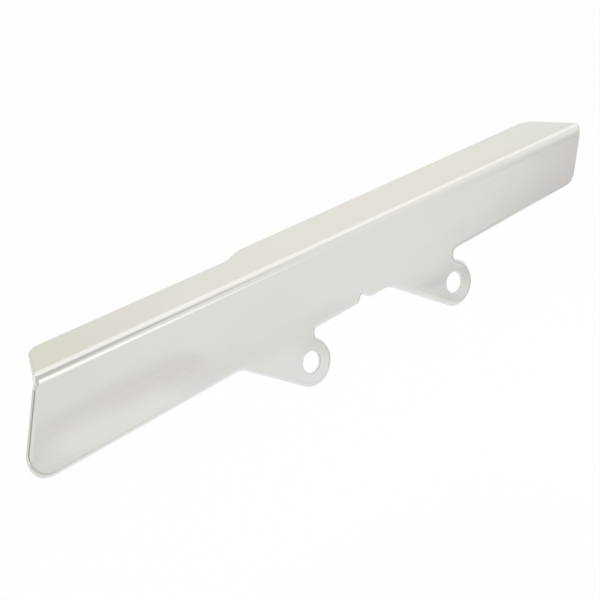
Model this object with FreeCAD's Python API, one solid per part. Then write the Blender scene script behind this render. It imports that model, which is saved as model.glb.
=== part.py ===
import FreeCAD, Part
import math
import os

# Motorcycle belt guard: one steel sheet, folded along its top. Millimetres and degrees.
# It is drawn with X along the fold and the left hole at X = 0, Z = 0. Y runs inwards from the
# outer panel. At the end it is turned so that X runs through both holes.

# Sheet
sheet = 2.0                # thickness
bend_radius = 8.0          # outside of the fold
edge_round = 1.9           # soft outer rim of the flange, left by polishing
edge_roll = 4.2            # the same on the outer panel, where it is rolled off wider
hole_edge_round = 1.0      # the same at the front of the holes
round_limit = 0.95         # most of the thickness that a rounding may take
roll_limit = 2.2           # largest radius of the roll, in thicknesses
blank_spare = 0.3          # what a blank is thicker than the roll is deep

# Two mounting holes in hanging tabs
hole_radius = 8.0
hole_spacing = 150.0
hole_line_rise = 2.2       # angle between the hole line and the fold
tab_rim = 10.1             # metal around each hole
tab_reach = 1.5            # how far the round end is centred past its hole, along the slope
tab_gap = 3.72             # from the left tab's round end up to the lower edge
tab_slope = 33.6           # angle of each tab's leading edge below the fold line
tab_start_radius = 14.0    # inside curve where a tab leaves the lower edge
tab_relief_radius = 4.5    # inside curve behind each tab

# Outer panel
panel_height = 58.58       # lower edge to top, straight above the left hole
lower_edge_rise = 3.0      # angle between the lower edge and the fold
left_reach = 225.35        # left hole to the left end, at the start of the fold
left_lean = 22.8           # angle of the left end from square
right_reach = 163.4        # right hole to the right end, at the start of the fold
right_lean = 26.2          # angle of the right end from square
lower_left_radius = 16.8
lower_right_radius = 12.0

# Small notch in the lower edge, ahead of the right tab
notch_lead = 31.2          # from the notch to the tab, along the edge
notch_depth = 5.6
notch_steep = 55.0         # angle of the left flank
notch_shallow = 35.0       # angle of the right flank
notch_tip_radius = 1.8
notch_left_radius = 3.7
notch_right_radius = 9.0

# Top flange
flange_depth = 52.75       # from the outer face to the back edge, at the left end
flange_narrowing = 0.9     # angle of that back edge
flange_left_cut = 29.8     # angle of the left end from square
flange_right_cut = 6.0     # angle of the right end from square
flange_left_radius = 16.5
flange_right_radius = 12.0
step_lead = 20.1           # the back edge steps out this far left of the left hole
step_depth = 9.95
step_slope = 28.0
step_radius = 15.0
end_turn = 0.7             # how far round the fold the ends keep the panel's lean

# What follows from these
tab_radius = hole_radius + tab_rim
lower_edge_height = tab_radius + tab_gap
fold_height = lower_edge_height + panel_height
fold_start = fold_height - bend_radius        # height where the panel turns into the fold
front = -sheet                                # outer face; the inner face is at Y = 0
fold_end = front + bend_radius                # depth where the fold turns into the flange
fold_length = bend_radius * math.pi / 2
roll = min(edge_roll, roll_limit * sheet)
flange_round = min(edge_round, round_limit * sheet)
blank = roll + blank_spare                    # thickness before the inside is cut out
spill = roll - math.sqrt(roll ** 2 - (roll - sheet) ** 2)     # what the roll takes off an end
rise = math.radians(hole_line_rise)
tolerance = 1e-6                              # below this, two values count as one
left_hole = (0.0, 0.0)
right_hole = (hole_spacing * math.cos(rise), hole_spacing * math.sin(rise))


def polar(centre, radius, angle):
    """Point at a distance and an angle from a centre."""
    a = math.radians(angle)
    return (centre[0] + radius * math.cos(a), centre[1] + radius * math.sin(a))


def crossing(p, p_angle, q, q_angle):
    """Point where two lines meet, each given by a point and an angle."""
    a = math.radians(p_angle)
    b = math.radians(q_angle)
    dx = q[0] - p[0]
    dy = q[1] - p[1]
    s = (dx * math.sin(b) - dy * math.cos(b)) / math.sin(b - a)
    return (p[0] + s * math.cos(a), p[1] + s * math.sin(a))


def slope(angle):
    return math.tan(math.radians(angle))


class Outline:
    """Flat outline of straight lines and true arcs; place puts its points in space."""

    def __init__(self, start, place):
        self.place = place
        self.first = start
        self.last = start
        self.edges = []

    def line(self, end):
        if math.dist(self.last, end) > tolerance:
            segment = Part.LineSegment(self.place(self.last), self.place(end))
            self.edges.append(segment.toShape())
        self.last = end

    def arc(self, centre, radius, start_angle, end_angle):
        self.line(polar(centre, radius, start_angle))
        middle = polar(centre, radius, (start_angle + end_angle) / 2)
        end = polar(centre, radius, end_angle)
        bow = Part.Arc(self.place(self.last), self.place(middle), self.place(end))
        self.edges.append(bow.toShape())
        self.last = end

    def corner(self, point, radius, towards):
        """Rounded corner at a point, leaving in the direction of the next one."""
        heading_in = math.degrees(math.atan2(point[1] - self.last[1], point[0] - self.last[0]))
        heading_out = math.degrees(math.atan2(towards[1] - point[1], towards[0] - point[0]))
        turn = (heading_out - heading_in + 180) % 360 - 180
        side = math.copysign(90, turn)
        run = radius * math.tan(math.radians(abs(turn)) / 2)
        centre = polar(polar(point, -run, heading_in), radius, heading_in + side)
        self.arc(centre, radius, heading_in - side, heading_in - side + turn)

    def face(self):
        self.line(self.first)
        return Part.Face(Part.Wire(self.edges))


def on_panel(p):
    return FreeCAD.Vector(p[0], front, p[1])


def on_flange(p):
    return FreeCAD.Vector(p[0], p[1], fold_height)


# Outer panel with its tabs and notch
top_left = (-left_reach, fold_start)
top_right = (right_hole[0] + right_reach, fold_start)
lower_middle = (0.0, lower_edge_height)
lower_left = crossing(top_left, 90 - left_lean, lower_middle, lower_edge_rise)
lower_right = crossing(top_right, 90 - right_lean, lower_middle, lower_edge_rise)


def tab_centre(hole):
    """Centre of a tab's round end."""
    return polar(hole, tab_reach, -tab_slope)


def tab_corners(hole):
    """Where a tab's leading edge leaves the lower edge, and where it meets the round end."""
    low = polar(tab_centre(hole), tab_radius, -90 - tab_slope)
    return crossing(lower_middle, lower_edge_rise, low, -tab_slope), low


def add_tab(outline, hole):
    """Leading edge, round end and the inside curve back to the lower edge."""
    start, low = tab_corners(hole)
    outline.corner(start, tab_start_radius, low)
    centre = tab_centre(hole)
    upright = 90 + lower_edge_rise
    height = math.dist(centre, crossing(lower_middle, lower_edge_rise, centre, upright))
    reach = tab_radius + tab_relief_radius
    meet = upright - math.degrees(math.acos((height - tab_relief_radius) / reach))
    outline.arc(centre, tab_radius, -90 - tab_slope, meet)
    outline.arc(polar(centre, reach, meet), tab_relief_radius, meet + 180, upright)


def add_notch(outline):
    left = polar(tab_corners(right_hole)[0], -notch_lead, lower_edge_rise)
    bed = polar(left, notch_depth, 90 + lower_edge_rise)
    tip = crossing(left, notch_steep, bed, lower_edge_rise)
    right = crossing(tip, -notch_shallow, lower_middle, lower_edge_rise)
    outline.corner(left, notch_left_radius, tip)
    outline.corner(tip, notch_tip_radius, right)
    outline.corner(right, notch_right_radius, lower_right)


above = (0.0, fold_height)
spare_right = crossing(top_right, 90 - right_lean, above, 0)
outline = Outline(crossing(top_left, 90 - left_lean, above, 0), on_panel)
outline.corner(lower_left, lower_left_radius, lower_middle)
add_tab(outline, left_hole)
add_notch(outline)
add_tab(outline, right_hole)
outline.corner(lower_right, lower_right_radius, spare_right)
outline.line(spare_right)
panel = outline.face().makeOffset2D(spill).extrude(FreeCAD.Vector(0, blank, 0))


# Top flange, whose ends carry on from the panel's ends across the fold
def across_fold(lean, cut):
    return fold_length * (end_turn * slope(lean) + (1 - end_turn) * slope(cut))


flange_left = (top_left[0] + across_fold(left_lean, flange_left_cut), fold_end)
flange_right = (top_right[0] + across_fold(right_lean, -flange_right_cut), fold_end)
left_back = crossing(flange_left, 90 - flange_left_cut, (0.0, front + flange_depth), 0)
step_low = crossing(left_back, -flange_narrowing, (-step_lead, 0.0), 90)
wide_back = (0.0, step_low[1] + step_depth)
step_high = crossing(step_low, step_slope, wide_back, 0)
right_back = crossing(flange_right, 90 + flange_right_cut, wide_back, 0)

outline = Outline(flange_left, on_flange)
outline.corner(left_back, flange_left_radius, step_low)
outline.corner(step_low, step_radius, step_high)
outline.corner(step_high, step_radius, right_back)
outline.corner(right_back, flange_right_radius, flange_right)
outline.line(flange_right)
flange = outline.face().extrude(FreeCAD.Vector(0, 0, -blank))

# Fold: a quarter ring, cut at both ends by a wall that stays square to the sheet
left_end = top_left[0] - spill / math.cos(math.radians(left_lean))
right_end = top_right[0] + spill / math.cos(math.radians(right_lean))
ring_start = min(lower_left[0], left_end) - blank
ring_length = max(flange_right[0], right_end) + blank - ring_start
ring_centre = FreeCAD.Vector(ring_start, fold_end, fold_start)
along_fold = FreeCAD.Vector(1, 0, 0)
outside = Part.makeCylinder(bend_radius, ring_length, ring_centre, along_fold)
inside = Part.makeCylinder(bend_radius - blank, ring_length, ring_centre, along_fold)
ring_corner = FreeCAD.Vector(ring_start, front, fold_start)
quarter = Part.makeBox(ring_length, bend_radius, bend_radius, ring_corner)
fold = outside.cut(inside).common(quarter)
panel = panel.cut(Part.makeBox(ring_length, blank, 2 * bend_radius, ring_corner))


def end_curve(radius, panel_end, lean, flange_end, cut):
    """Line of a sheet end across the fold at one radius, smooth into panel and flange."""
    run = radius * math.pi / 2
    steps = 8
    points = []
    for i in range(steps + 1):
        s = i / steps
        ease = s * s * (3 - 2 * s)
        x = panel_end + (flange_end - panel_end) * ease
        x += run * s * (1 - s) * ((1 - s) * slope(lean) - s * slope(cut))
        y, z = polar((fold_end, fold_start), radius, 180 - 90 * s)
        points.append(FreeCAD.Vector(x, y, z))
    curve = Part.BSplineCurve()
    curve.interpolate(Points=points, InitialTangent=FreeCAD.Vector(slope(lean), 0, 1),
                      FinalTangent=FreeCAD.Vector(slope(cut), 1, 0))
    return curve.toShape()


def beyond_end(panel_end, lean, flange_end, cut, away):
    """Room beyond a sheet end, to cut off the ring there."""
    near = end_curve((bend_radius - blank) / 2, panel_end, lean, flange_end, cut)
    far = end_curve(bend_radius + blank, panel_end, lean, flange_end, cut)
    return Part.makeRuledSurface(near, far).extrude(FreeCAD.Vector(away * ring_length, 0, 0))


fold = fold.cut(beyond_end(left_end, left_lean, flange_left[0], flange_left_cut, -1))
fold = fold.cut(beyond_end(right_end, right_lean, flange_right[0], -flange_right_cut, 1))
thick_guard = panel.fuse([fold, flange]).removeSplitter()


# Soft rim all round the outer skin
def on_outer_skin(face):
    """True for the outer panel, the outside of the fold and the top of the flange."""
    surface = face.Surface
    if surface.TypeId == "Part::GeomCylinder":
        return abs(surface.Axis.x) > 1 - tolerance and abs(surface.Radius - bend_radius) < tolerance
    if surface.TypeId != "Part::GeomPlane":
        return False
    middle = face.CenterOfMass
    is_front = abs(surface.Axis.y) > 1 - tolerance and abs(middle.y - front) < tolerance
    is_top = abs(surface.Axis.z) > 1 - tolerance and abs(middle.z - fold_height) < tolerance
    return is_front or is_top


skin_edges = [e for f in thick_guard.Faces if on_outer_skin(f) for e in f.Edges]
uses = [e.hashCode() for e in skin_edges]
rim = [e.hashCode() for e in skin_edges if uses.count(e.hashCode()) == 1]

# Wide on the panel and narrow on the flange; it changes over by itself across the fold
radii = []
for number, edge in enumerate(thick_guard.Edges, start=1):
    depths = [corner.Point.y for corner in edge.Vertexes]
    if edge.hashCode() in rim and min(depths) > fold_end - tolerance:
        radii.append((number, flange_round, flange_round))
    elif edge.hashCode() in rim and max(depths) < fold_end - tolerance:
        radii.append((number, roll, roll))
document = FreeCAD.newDocument()
sharp = document.addObject("Part::Feature", "sharp")
sharp.Shape = thick_guard
soft = document.addObject("Part::Fillet", "soft")
soft.Base = sharp
soft.Edges = radii
document.recompute()

# The inside is cut out to leave the sheet
room = fold_height + flange_depth + step_depth
core = Part.makeBox(ring_length, room, 2 * room,
                    FreeCAD.Vector(ring_start, 0, fold_height - sheet - 2 * room))
inner_corner = FreeCAD.Vector(ring_start + ring_length / 2, 0, fold_height - sheet)
inner_fold = [e for e in core.Edges if e.CenterOfMass.distanceToPoint(inner_corner) < tolerance]
core = core.makeFillet(bend_radius - sheet, inner_fold)
guard = soft.Shape.cut(core).Solids[0]

# Mounting holes, softened where they open at the front
inwards = FreeCAD.Vector(0, 1, 0)
for hole in (left_hole, right_hole):
    guard = guard.cut(Part.makeCylinder(hole_radius, sheet, on_panel(hole), inwards))
mouths = [e for e in guard.Edges if e.isClosed() and abs(e.CenterOfMass.y - front) < tolerance]
guard = guard.makeFillet(min(hole_edge_round, round_limit * sheet), mouths)

# Frame: origin midway between the holes on the inner face, X through both holes
middle = FreeCAD.Vector(right_hole[0] / 2, 0, right_hole[1] / 2)
guard.translate(middle.negative())
guard.rotate(FreeCAD.Vector(0, 0, 0), inwards, hole_line_rise)

os.makedirs("parts", exist_ok=True)
guard.exportStep("parts/belt_guard.step")
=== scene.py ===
import math
import bpy
from mathutils import Matrix, Vector


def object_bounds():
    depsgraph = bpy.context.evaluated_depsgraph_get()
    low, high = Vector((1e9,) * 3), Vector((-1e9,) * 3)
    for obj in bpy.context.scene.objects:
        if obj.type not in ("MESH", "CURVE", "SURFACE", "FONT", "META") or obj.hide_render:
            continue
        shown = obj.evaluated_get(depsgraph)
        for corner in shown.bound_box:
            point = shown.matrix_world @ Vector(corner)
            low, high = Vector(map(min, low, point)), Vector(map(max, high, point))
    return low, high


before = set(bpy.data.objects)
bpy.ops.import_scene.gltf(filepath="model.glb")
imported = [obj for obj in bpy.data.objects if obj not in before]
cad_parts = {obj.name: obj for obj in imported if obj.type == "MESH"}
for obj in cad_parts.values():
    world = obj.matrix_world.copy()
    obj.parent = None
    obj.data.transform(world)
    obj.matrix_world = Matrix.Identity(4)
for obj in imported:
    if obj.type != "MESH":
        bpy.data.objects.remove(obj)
cad_low, cad_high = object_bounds()
scene = bpy.context.scene
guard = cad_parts["belt_guard"]

# Camera: place in metres, angles in degrees, lens in millimetres
camera_place = (-0.87406, -1.08180, 0.53819)
camera_azimuth = -36.604
camera_elevation = 20.016
camera_roll = -13.860
sensor_width = 36.0
focal_length = 120.0

# Chrome: clean plating, and the warm grey of its hazy streaks
chrome_colour = (0.718, 0.722, 0.688, 1.0)
haze_colour = (0.600, 0.575, 0.545, 1.0)
haze_scale = (3.2, 17.0, 17.0)
haze_detail = 1.5
haze_span = (0.44, 0.72)
haze_most = 0.22

# Polishing marks along the sheet, in its gloss and in its surface
polish_scale = (5.0, 240.0, 240.0)
polish_detail = 4.0
polish_span = (0.3, 0.7)
polish_height = 0.0000004
roughness_range = (0.068, 0.092)

# Slow waves of the surface
wave_scale = (26.0, 26.0, 26.0)
wave_detail = 1.0
wave_height = 0.00009

# Studio: lengths in metres, lamp power in watts
white = (1.0, 1.0, 1.0, 1.0)
background_light = 1.0
soft_light = 0.85
floor_drop = 0.30
floor_level = cad_low.z - floor_drop
floor_half = 14.0
floor_colour = (0.95, 0.95, 0.95, 1.0)
floor_white_share = 0.88
key_place = (0.2, -0.3, 1.7)
key_size = 1.6
key_power = 10.0

# Cards on the floor: the height of the lowest, the step to the next, and the turn of the long painted
# streaks of shade and gleam
card_lift = 0.0130
card_step = 0.0003
painted_streak_turn = 5.14

right_angle = 90.0


def direction(heading, pitch=0.0):
    """The unit vector at a heading from +X that rises by a pitch, both in degrees."""
    heading = math.radians(heading)
    pitch = math.radians(pitch)
    level = math.cos(pitch)
    return Vector((math.cos(heading) * level, math.sin(heading) * level, math.sin(pitch)))


def new_material(name):
    material = bpy.data.materials.new(name)
    material.use_nodes = True
    material.node_tree.nodes.clear()
    return material, material.node_tree


def add_node(tree, kind, **values):
    node = tree.nodes.new(kind)
    for key, value in values.items():
        setattr(node, key, value)
    return node


def coloured(tree, kind, colour):
    node = add_node(tree, kind)
    node.inputs["Color"].default_value = colour
    return node


def math_node(tree, operation, *values):
    """Arithmetic on sockets and numbers."""
    node = add_node(tree, "ShaderNodeMath", operation=operation)
    for socket, value in zip(node.inputs, values):
        if isinstance(value, float):
            socket.default_value = value
        else:
            tree.links.new(value, socket)
    return node.outputs[0]


def mapped(tree, value, span, result):
    """A value brought smoothly from one span to another."""
    node = add_node(tree, "ShaderNodeMapRange", interpolation_type="SMOOTHSTEP")
    tree.links.new(value, node.inputs["Value"])
    node.inputs["From Min"].default_value, node.inputs["From Max"].default_value = span
    node.inputs["To Min"].default_value, node.inputs["To Max"].default_value = result
    return node.outputs["Result"]


def noise(tree, place, scale, detail):
    """Noise, drawn out along the axes with the smaller scales."""
    stretch = add_node(tree, "ShaderNodeMapping")
    stretch.inputs["Scale"].default_value = scale
    tree.links.new(place, stretch.inputs["Vector"])
    node = add_node(tree, "ShaderNodeTexNoise")
    node.inputs["Scale"].default_value = 1.0
    node.inputs["Detail"].default_value = detail
    tree.links.new(stretch.outputs[0], node.inputs["Vector"])
    return node.outputs["Fac"]


def bump(tree, height, distance):
    node = add_node(tree, "ShaderNodeBump")
    node.inputs["Distance"].default_value = distance
    tree.links.new(height, node.inputs["Height"])
    return node


def show_mix(tree, output_kind, share, first, second):
    """Makes the tree's output from two shaders and the second one's share."""
    mix = add_node(tree, "ShaderNodeMixShader")
    tree.links.new(share, mix.inputs[0])
    tree.links.new(first.outputs[0], mix.inputs[1])
    tree.links.new(second.outputs[0], mix.inputs[2])
    output = add_node(tree, output_kind)
    tree.links.new(mix.outputs[0], output.inputs["Surface"])


def background_rays(tree):
    """1 for camera rays, and for the rays that show the studio in metal or through glass."""
    path = add_node(tree, "ShaderNodeLightPath")
    seen = math_node(tree, "MAXIMUM", path.outputs["Is Camera Ray"], path.outputs["Is Glossy Ray"])
    return math_node(tree, "MAXIMUM", seen, path.outputs["Is Transmission Ray"])


# Chrome plating
def chrome_plate():
    material, tree = new_material("chrome_plate")
    place = add_node(tree, "ShaderNodeTexCoord").outputs["Object"]
    shader = add_node(tree, "ShaderNodeBsdfPrincipled")
    shader.inputs["Metallic"].default_value = 1.0

    # Hazy streaks along the sheet
    streaks = noise(tree, place, haze_scale, haze_detail)
    colour = add_node(tree, "ShaderNodeMix", data_type="RGBA")
    colour.inputs["A"].default_value = chrome_colour
    colour.inputs["B"].default_value = haze_colour
    tree.links.new(mapped(tree, streaks, haze_span, (0.0, haze_most)), colour.inputs["Factor"])
    tree.links.new(colour.outputs["Result"], shader.inputs["Base Color"])

    # Polishing marks in the gloss
    polish = noise(tree, place, polish_scale, polish_detail)
    roughness = mapped(tree, polish, polish_span, roughness_range)
    tree.links.new(roughness, shader.inputs["Roughness"])

    # Polishing marks in the surface, and its slow waves
    marks = bump(tree, polish, polish_height)
    waves = bump(tree, noise(tree, place, wave_scale, wave_detail), wave_height)
    tree.links.new(marks.outputs[0], waves.inputs["Normal"])
    tree.links.new(waves.outputs[0], shader.inputs["Normal"])

    output = add_node(tree, "ShaderNodeOutputMaterial")
    tree.links.new(shader.outputs[0], output.inputs["Surface"])
    return material


plating = chrome_plate()
for slot in guard.material_slots:
    slot.material = plating


# World: soft light, with plain white behind the stage
def studio_world():
    world = bpy.data.worlds.new("studio")
    world.use_nodes = True
    tree = world.node_tree
    tree.nodes.clear()
    soft = coloured(tree, "ShaderNodeBackground", white)
    soft.inputs["Strength"].default_value = soft_light
    plain = coloured(tree, "ShaderNodeBackground", white)
    plain.inputs["Strength"].default_value = background_light
    show_mix(tree, "ShaderNodeOutputWorld", background_rays(tree), soft, plain)
    return world


scene.world = studio_world()


# Stage
def sheet(name, centre, along, up, material):
    """A flat rectangle: its centre, and the vectors from there to the middles of two of its sides."""
    corners = [(-1, -1, 0), (1, -1, 0), (1, 1, 0), (-1, 1, 0)]
    mesh = bpy.data.meshes.new(name)
    mesh.from_pydata(corners, [], [(0, 1, 2, 3)])
    mesh.materials.append(material)
    item = bpy.data.objects.new(name, mesh)
    sides = Matrix((along, up, along.cross(up).normalized())).transposed()
    item.matrix_world = Matrix.Translation(centre) @ sides.to_4x4()
    scene.collection.objects.link(item)
    return item


def floor_material():
    material, tree = new_material("floor")
    matt = coloured(tree, "ShaderNodeBsdfDiffuse", floor_colour)
    glow = coloured(tree, "ShaderNodeEmission", white)
    share = math_node(tree, "MULTIPLY", background_rays(tree), floor_white_share)
    show_mix(tree, "ShaderNodeOutputMaterial", share, matt, glow)
    return material


floor_along = Vector((floor_half, 0, 0))
floor_across = Vector((0, floor_half, 0))
sheet("floor", (0, 0, floor_level), floor_along, floor_across, floor_material())


# Cards: painted highlights and painted shade, glowing or dim sheets which only metal shows
def card(name, centre, along, up, colour, fade):
    """A glowing rectangle that fades out over a share of its half length and of its half width."""
    material, tree = new_material(name)
    place = add_node(tree, "ShaderNodeSeparateXYZ")
    tree.links.new(add_node(tree, "ShaderNodeTexCoord").outputs["Object"], place.inputs[0])
    sides = []
    for offset, share in zip(place.outputs, fade):
        distance = math_node(tree, "ABSOLUTE", offset)
        sides.append(mapped(tree, distance, (1.0, 1.0 - share), (0.0, 1.0)))
    clear = add_node(tree, "ShaderNodeBsdfTransparent")
    glow = coloured(tree, "ShaderNodeEmission", (*colour, 1.0))
    show_mix(tree, "ShaderNodeOutputMaterial", math_node(tree, "MULTIPLY", *sides), clear, glow)
    item = sheet(name, centre, along, up, material)
    item.visible_camera = False
    item.visible_diffuse = False
    item.visible_shadow = False


def level_card(name, centre, half, colour, fade, turn=0.0):
    """A card that lies level, with its half length and half width, turned about the vertical."""
    along = direction(turn) * half[0]
    across = direction(turn + right_angle) * half[1]
    card(name, centre, along, across, colour, fade)


def upright_card(name, centre, half, colour, fade, heading=0.0, pitch=0.0):
    """A card that stands upright: the heading of its length, and how steeply that rises."""
    along = direction(heading, pitch) * half[0]
    up = direction(heading, pitch + right_angle) * half[1]
    card(name, centre, along, up, colour, fade)


# Above, painted highlights and a painted dark band, shown by the fold and the rims: name, centre, half
# length and width, colour, fade
level_card("top_light", (0.0, 0.40, 1.10), (2.5, 0.585), (1.255, 1.225, 1.22), (0.05, 0.3))
level_card("top_tail", (0.0, 1.10, 1.12), (2.5, 1.10), (1.10, 1.08, 1.04), (0.05, 0.8))
level_card("top_fill", (1.5, -0.46, 1.09), (0.6, 0.5), (1.08, 1.07, 1.06), (0.25, 0.3))
level_card("dark_flag", (-0.1346, -0.5985, 1.08), (0.75, 0.63), (0.74, 0.74, 0.73), (0.03, 0.05),
           turn=141.0)

# In front, shown by the fold
upright_card("front_light", (0.52, -1.5, 0.745), (0.55, 0.8334), (1.47, 1.47, 1.44), (0.95, 0.79),
             pitch=20.63)
upright_card("front_shade", (-0.30, -1.45, 0.66), (0.64, 0.46), (0.72, 0.72, 0.71), (0.5, 0.5))

# To the left, painted shade shown by the rim at the left end
upright_card("low_front_shade", (-1.50, -1.5, 0.26), (0.85, 0.58), (0.42, 0.42, 0.42), (0.9, 0.5))
upright_card("left_far_shade", (-2.4, -0.75, 0.5), (0.9, 0.6), (0.87, 0.87, 0.86), (0.3, 0.5),
             heading=right_angle)

# To the right, painted shade shown by the right end of the panel
upright_card("right_shade", (0.797, -0.48, -0.321), (0.2995, 0.2003), (0.77, 0.71, 0.725), (0.3, 0.5),
             heading=43.8, pitch=38.1)
upright_card("right_far_shade", (1.379, -0.884, -0.1), (0.45, 0.9), (0.66, 0.64, 0.64), (1.0, 1.0),
             heading=45.0)
upright_card("right_shade_line", (0.760, -0.539, -0.180), (0.0763, 0.008), (0.88, 0.86, 0.87), (0.6, 0.8),
             heading=10.2, pitch=2.25)

# Behind, shown by the flange: a painted reflection of a warm backdrop, brighter in the middle and with
# painted warm shade at its end
upright_card("backdrop", (2.4, 3.2, 1.4), (4.0, 1.6), (0.965, 0.943, 0.922), (0.3, 0.5))
upright_card("backdrop_middle", (2.5, 3.0, 1.4), (1.0, 1.6), (1.0, 0.965, 0.93), (0.8, 0.5))
upright_card("backdrop_end", (0.5, 2.9, 1.4), (1.5, 1.6), (0.88, 0.845, 0.72), (0.8, 0.5))

# On the floor, painted shade and painted glow, each above the one before: name, place, half length and
# width, turn, colour, fade
floor_cards = (
    # Below, a painted glow and painted shade, shown by the rims
    ("under_glow", (-0.06, 0.08), (0.28, 0.34), 0.0, (1.06, 1.06, 1.12), (0.4, 0.5)),
    ("right_floor", (0.75, 0.0), (0.28, 0.36), 0.0, (0.70, 0.71, 0.77), (0.5, 0.5)),
    ("lower_right_floor", (0.535, -0.04), (0.06, 0.22), 0.0, (0.66, 0.66, 0.68), (0.6, 0.6)),
    ("tab_rim_floor", (0.435, -0.22), (0.105, 0.18), 0.0, (0.72, 0.71, 0.73), (0.6, 0.5)),
    ("right_edge_floor", (0.64, -0.36), (0.15, 0.19), 0.0, (0.80, 0.79, 0.80), (0.6, 0.5)),
    # Behind, painted shade shown by the inner side
    ("back_floor", (0.1, 1.5), (1.6, 0.8), 0.0, (0.55, 0.55, 0.54), (0.5, 0.8)),
    # To the left, painted shade shown by the rim at the left end and by the panel's lower edge
    ("dark_floor_shade", (-0.40, -0.62), (0.36, 0.46), 0.0, (0.76, 0.74, 0.73), (0.5, 0.5)),
    ("edge_floor", (-0.02, -0.545), (0.18, 0.155), 0.0, (0.47, 0.46, 0.45), (0.9, 0.45)),
    ("corner_floor", (-0.875, -0.905), (0.70, 0.10), 57.8, (0.50, 0.50, 0.49), (0.6, 0.9)),
    ("corner_far", (-1.35, -1.72), (1.0, 0.40), 60.6, (0.20, 0.20, 0.20), (0.6, 0.8)),
    # In front, painted shade and a painted glow, shown by the tabs
    ("tab_shade", (0.425, -0.640), (0.048, 0.045), 0.0, (0.80, 0.79, 0.81), (1.0, 1.0)),
    ("tab_warm_shade", (0.602, -0.634), (0.046, 0.034), 0.0, (0.74, 0.69, 0.70), (1.0, 1.0)),
    ("tab_right", (0.634, -0.602), (0.034, 0.034), 0.0, (0.74, 0.74, 0.75), (1.0, 1.0)),
    ("tab_glow", (0.365, -0.570), (0.075, 0.032), 0.0, (1.07, 1.07, 1.12), (0.6, 0.8)),
    ("tab_low", (0.553, -0.577), (0.046, 0.026), 0.0, (0.62, 0.60, 0.64), (1.0, 1.0)),
    # In front, painted shade and a painted gleam, shown by the panel
    ("shade_patch", (0.055, -0.785), (0.07, 0.11), 0.0, (0.84, 0.80, 0.80), (1.0, 0.8)),
    ("lower_shade", (0.38, -0.702), (0.1707, 0.0382), painted_streak_turn, (0.915, 0.915, 0.915), (0.5, 0.8)),
    ("pink_shade", (0.285, -0.720), (0.06, 0.04), 0.0, (0.93, 0.88, 0.895), (1.0, 1.0)),
    ("shade_streak", (0.207, -0.782), (0.1406, 0.0502), painted_streak_turn, (0.87, 0.80, 0.815), (0.25, 1.0)),
    ("floor_gleam", (0.17, -0.706), (0.1104, 0.0301), painted_streak_turn, (1.065, 1.04, 1.045), (0.5, 1.0)),
)
for layer, (name, place, half, turn, colour, fade) in enumerate(floor_cards):
    height = floor_level + card_lift + layer * card_step
    level_card(name, (*place, height), half, colour, fade, turn)

# Key lamp, which gives the floor its soft shadow
lamp = bpy.data.lights.new("key", "AREA")
lamp.shape = "DISK"
lamp.size = key_size
lamp.energy = key_power
key = bpy.data.objects.new("key", lamp)
key.location = key_place
key.visible_glossy = False
scene.collection.objects.link(key)

# Camera
away = direction(camera_azimuth - right_angle, camera_elevation)
aim = (-away).to_track_quat("-Z", "Y").to_matrix() @ Matrix.Rotation(math.radians(camera_roll), 3, "Z")
lens = bpy.data.cameras.new("camera")
lens.sensor_width = sensor_width
lens.lens = focal_length
camera = bpy.data.objects.new("camera", lens)
camera.matrix_world = Matrix.Translation(camera_place) @ aim.to_4x4()
scene.collection.objects.link(camera)
scene.camera = camera
scene.view_settings.view_transform = "Standard"
